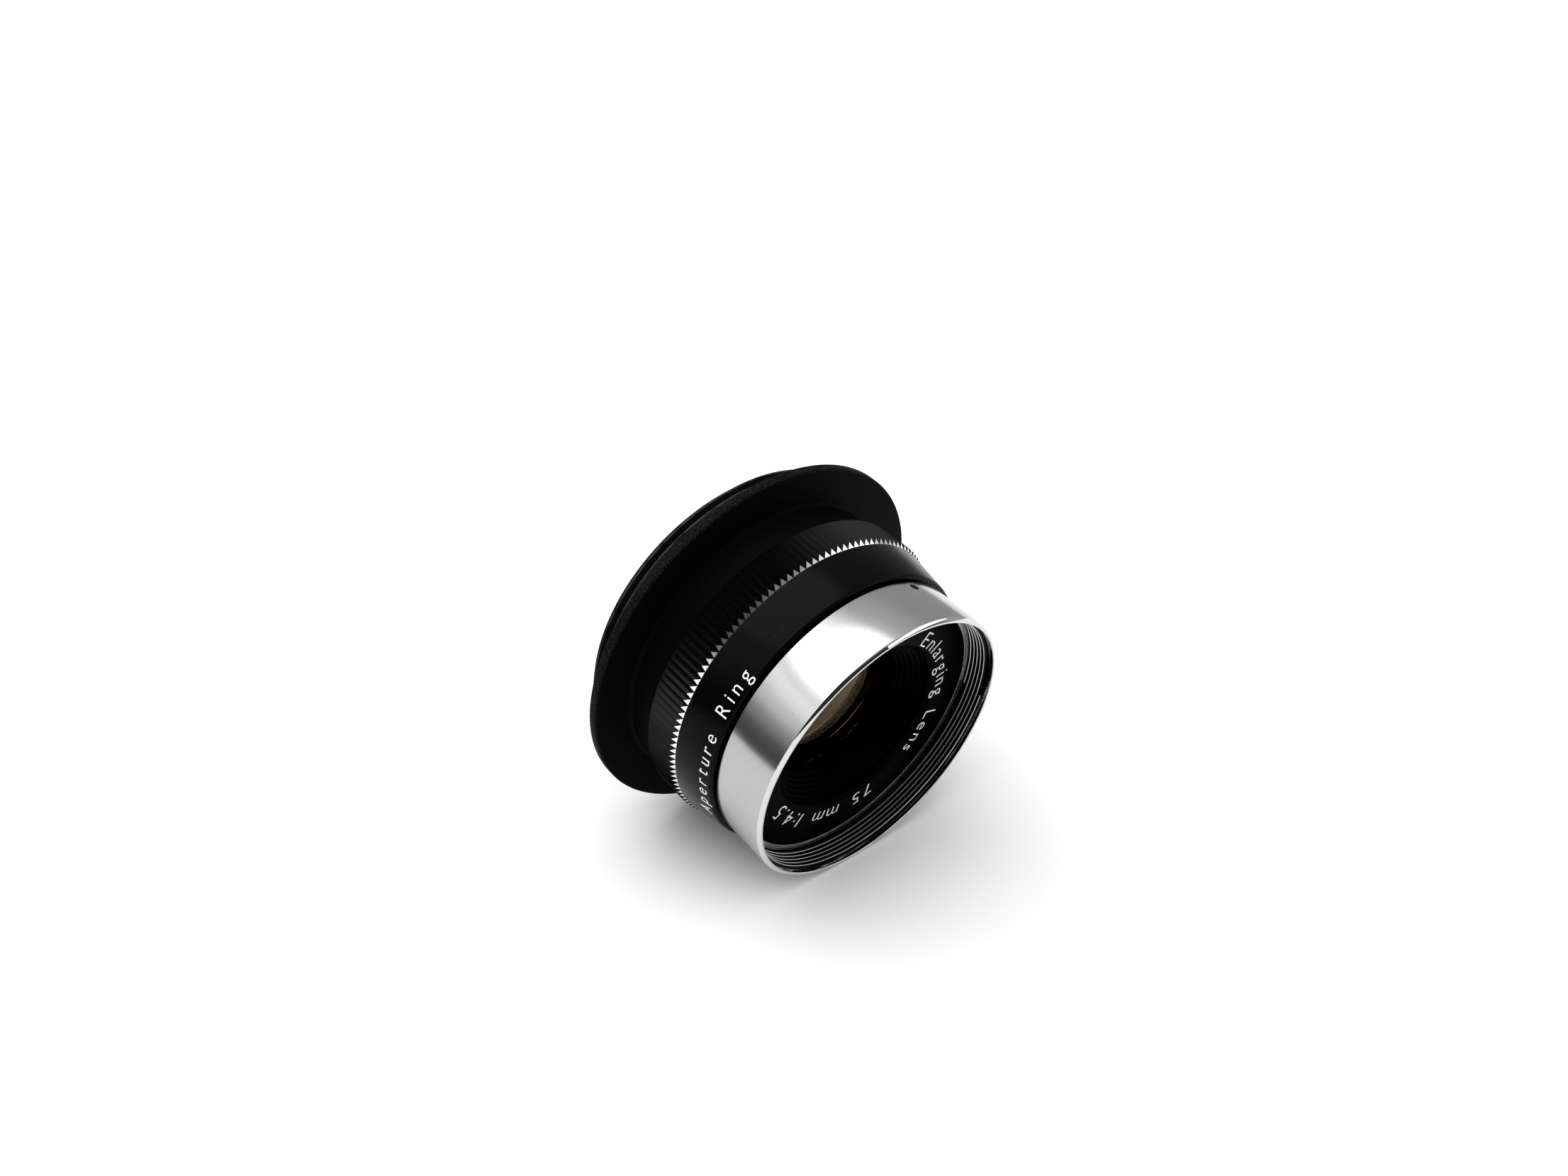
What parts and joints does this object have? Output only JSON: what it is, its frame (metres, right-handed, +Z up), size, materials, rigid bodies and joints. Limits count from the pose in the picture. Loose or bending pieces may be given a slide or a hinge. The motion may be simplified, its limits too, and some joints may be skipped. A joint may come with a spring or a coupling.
{
  "type": "enlarger lens",
  "caption": "Enlarger lens with a bright front ring, knurled aperture ring, working leaf iris, flange and M39 rear thread.",
  "frame": {"origin": "centre of the flange's seat, where the mounting thread meets it, on the optical axis", "axes": "+Z up as the lens lies on its flange rim and front rim; +X across the lens; the front points to -Y and dips by 14.7 degrees"},
  "size_m": [0.0442, 0.0339, 0.0431],
  "materials": {
    "satin_chrome": "satin, fine turned lines",
    "black_anodised": "matte black anodised",
    "black_gloss": "smooth semi-gloss black anodised",
    "black_grip": "black anodised knurl, bright cut chamfer",
    "coated_glass": "polished, amber anti-reflection coating",
    "dark_steel": "blackened",
    "bright_steel": "polished",
    "brass": "turned",
    "white_paint": "matte paint fill"
  },
  "bodies": {
    "barrel": {"main_barrel": "black_anodised", "front_ring": "satin_chrome", "front_ring_grub_screws": "dark_steel", "index_mark": "white_paint", "name_ring": "black_anodised", "front_cell": "black_anodised", "front_element": "coated_glass", "spacer_ring": "black_anodised", "middle_element": "coated_glass", "front_retaining_ring": "black_anodised", "cam_retainer": "brass", "iris_base_ring": "brass", "click_ball": "bright_steel", "click_spring": "bright_steel", "rear_cell": "black_anodised", "rear_element": "coated_glass", "rear_retaining_ring": "black_anodised"},
    "aperture_control": {"aperture_ring": "black_gloss", "grip_ring": "black_grip", "drive_screw": "dark_steel", "cam_ring": "brass"},
    "blade_1": {"iris_blade_1": "dark_steel"},
    "blade_2": {"iris_blade_2": "dark_steel"},
    "blade_3": {"iris_blade_3": "dark_steel"},
    "blade_4": {"iris_blade_4": "dark_steel"},
    "blade_5": {"iris_blade_5": "dark_steel"}
  },
  "joints": [
    {"name": "aperture_turn", "type": "hinge", "parent": "barrel", "child": "aperture_control", "pos_m": [0, 0, 0], "axis": [0, -0.9673, -0.2537], "range_deg": [0, 55]},
    {"name": "blade_1_swing", "type": "hinge", "parent": "barrel", "child": "blade_1", "pos_m": [0.0118, -0.00348, -0.00091], "axis": [0, -0.9673, -0.2537], "range_deg": [0, 26.1]},
    {"name": "blade_2_swing", "type": "hinge", "parent": "barrel", "child": "blade_2", "pos_m": [0.00365, -0.00662, 0.00987], "axis": [0, -0.9673, -0.2537], "range_deg": [0, 26.1]},
    {"name": "blade_3_swing", "type": "hinge", "parent": "barrel", "child": "blade_3", "pos_m": [-0.00955, -0.00582, 0.00564], "axis": [0, -0.9673, -0.2537], "range_deg": [0, 26.1]},
    {"name": "blade_4_swing", "type": "hinge", "parent": "barrel", "child": "blade_4", "pos_m": [-0.00955, -0.00259, -0.00785], "axis": [0, -0.9673, -0.2537], "range_deg": [0, 26.1]},
    {"name": "blade_5_swing", "type": "hinge", "parent": "barrel", "child": "blade_5", "pos_m": [0.00365, -0.0018, -0.01207], "axis": [0, -0.9673, -0.2537], "range_deg": [0, 26.1]}
  ],
  "couplings": [
    {"joint": "blade_1_swing", "follows": "aperture_turn", "ratio": 0.47362},
    {"joint": "blade_2_swing", "follows": "aperture_turn", "ratio": 0.47362},
    {"joint": "blade_3_swing", "follows": "aperture_turn", "ratio": 0.47362},
    {"joint": "blade_4_swing", "follows": "aperture_turn", "ratio": 0.47362},
    {"joint": "blade_5_swing", "follows": "aperture_turn", "ratio": 0.47362}
  ]
}
